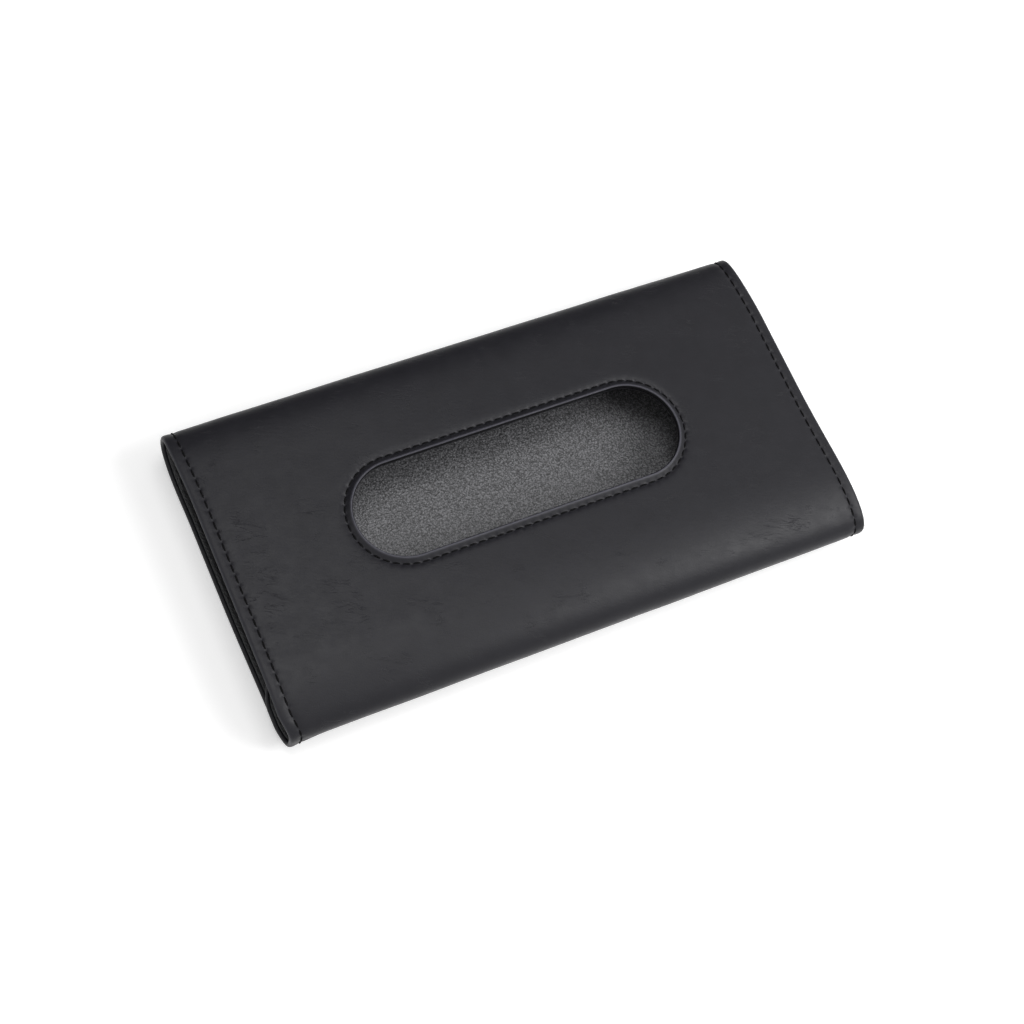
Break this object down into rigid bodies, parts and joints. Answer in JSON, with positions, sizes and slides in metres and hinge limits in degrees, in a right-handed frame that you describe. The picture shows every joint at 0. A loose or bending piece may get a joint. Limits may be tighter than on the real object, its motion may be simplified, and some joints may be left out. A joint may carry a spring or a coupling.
{
  "type": "car tissue holder",
  "caption": "Flat leather-cloth wallet for a sun visor: slotted padded front, open short ends, elastic straps behind, opening like a book about its far fold.",
  "frame": {"origin": "under the middle of the closed holder, on the surface that it lies on", "axes": "+X along the holder, +Y from the near fold to the far fold that it opens about, +Z from the back up to the slotted front"},
  "size_m": [0.23, 0.12, 0.025],
  "materials": {
    "leather": "matt black leather-cloth with fine wrinkles",
    "lining": "black pebble-grained lining",
    "board": "grey board",
    "foam": "dark soft foam sheet",
    "magnet": "nickel plated",
    "elastic": "black woven elastic"
  },
  "bodies": {
    "back": {"back_leather": "leather", "back_lining": "lining", "back_board": "board", "far_fold_foam_lower": "foam", "keeper_left": "magnet", "keeper_right": "magnet", "strap_left": "elastic", "strap_right": "elastic"},
    "cover": {"front_leather": "leather", "slot_facing": "leather", "front_lining": "lining", "front_board": "board", "far_fold_foam_upper": "foam", "near_fold_foam": "foam", "lip_board": "board", "lip_magnet_left": "magnet", "lip_magnet_right": "magnet"}
  },
  "joints": [
    {"name": "cover_fold", "type": "hinge", "parent": "back", "child": "cover", "pos_m": [0, 0.06, 0.0138], "axis": [-1, 0, 0], "range_deg": [0, 175]}
  ]
}
